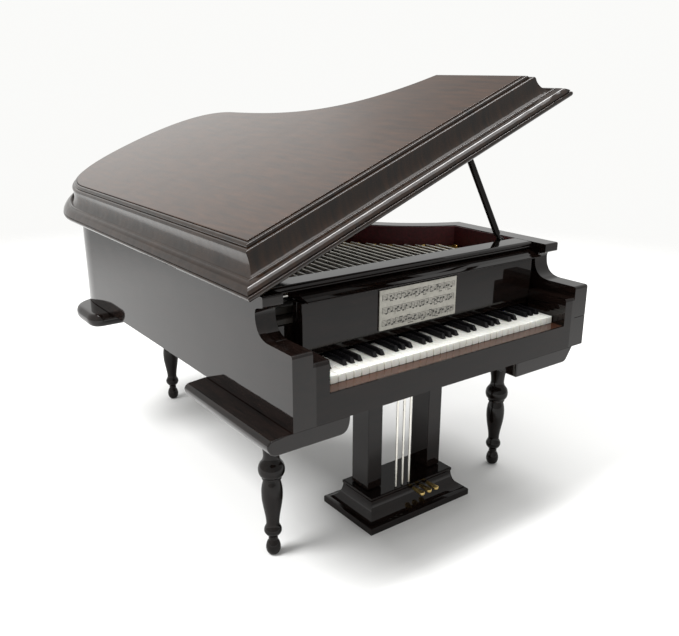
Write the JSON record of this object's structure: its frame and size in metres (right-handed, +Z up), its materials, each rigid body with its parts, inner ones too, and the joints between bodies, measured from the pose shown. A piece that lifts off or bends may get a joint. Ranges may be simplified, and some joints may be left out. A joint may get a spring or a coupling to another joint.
{
  "type": "miniature grand piano",
  "caption": "Miniature grand piano in glossy dark wood: curved case on turned legs, moulded lid held open by a folding stick, small keyboard, strings and pedal lyre.",
  "frame": {"origin": "middle of the footprint, on the floor", "axes": "+X to the player's right, +Y from the keyboard to the tail, +Z up"},
  "size_m": [0.1594, 0.2408, 0.1809],
  "materials": {
    "mahogany": "near-black mahogany under high-gloss lacquer",
    "lid_mahogany": "dark red-brown mahogany under high-gloss lacquer",
    "lining": "burgundy lining, satin",
    "gold": "gold paint, satin",
    "brass": "polished brass",
    "steel": "bright wire",
    "spruce": "dark stained, satin",
    "ivory": "ivory white, gloss",
    "ebony": "black, gloss",
    "card": "printed card, matt"
  },
  "bodies": {
    "case": {"case_rim": "mahogany", "bottom_board": "mahogany", "key_bed": "mahogany", "key_slip": "mahogany", "key_block_left": "mahogany", "key_block_right": "mahogany", "fallboard_strip": "mahogany", "front_panel": "mahogany", "panel_end_left": "mahogany", "panel_end_right": "mahogany", "ledge": "mahogany", "stretcher_shelf": "mahogany", "belly_rail": "mahogany", "leg_block_left": "mahogany", "leg_block_right": "mahogany", "leg_block_tail": "mahogany", "leg_front_left": "mahogany", "leg_front_right": "mahogany", "leg_tail": "mahogany", "lyre_base": "mahogany", "lyre_column_left": "mahogany", "lyre_column_right": "mahogany", "rim_lining": "lining", "string_plate": "gold", "prop_bracket": "brass", "pedal_1": "brass", "pedal_2": "brass", "pedal_3": "brass", "hinge_case_leaf_1": "brass", "hinge_case_leaf_2": "brass", "strings": "steel", "pedal_rod_1": "steel", "pedal_rod_2": "steel", "pedal_rod_3": "steel", "hinge_pin_1": "steel", "hinge_pin_2": "steel", "prop_pin": "steel", "soundboard": "spruce", "tuning_block": "spruce", "bridge": "spruce", "white_keys": "ivory", "black_keys": "ebony", "music_card": "card"},
    "lid": {"lid_moulding": "lid_mahogany", "lid_panel": "lid_mahogany", "prop_cleat": "lid_mahogany", "hinge_lid_leaf_1": "brass", "hinge_lid_leaf_2": "brass"},
    "prop": {"prop_stick": "mahogany"}
  },
  "joints": [
    {"name": "lid_hinge", "type": "hinge", "parent": "case", "child": "lid", "pos_m": [-0.0717, -0.12035, 0.1112], "axis": [0, -1, 0], "range_deg": [-21.9, 0]},
    {"name": "prop_fold", "type": "hinge", "parent": "case", "child": "prop", "pos_m": [0.0643, -0.08335, 0.1104], "axis": [-0.866, -0.5, 0], "range_deg": [0, 66.2]}
  ],
  "couplings": [
    {"joint": "prop_fold", "follows": "lid_hinge", "ratio": -3.02}
  ]
}
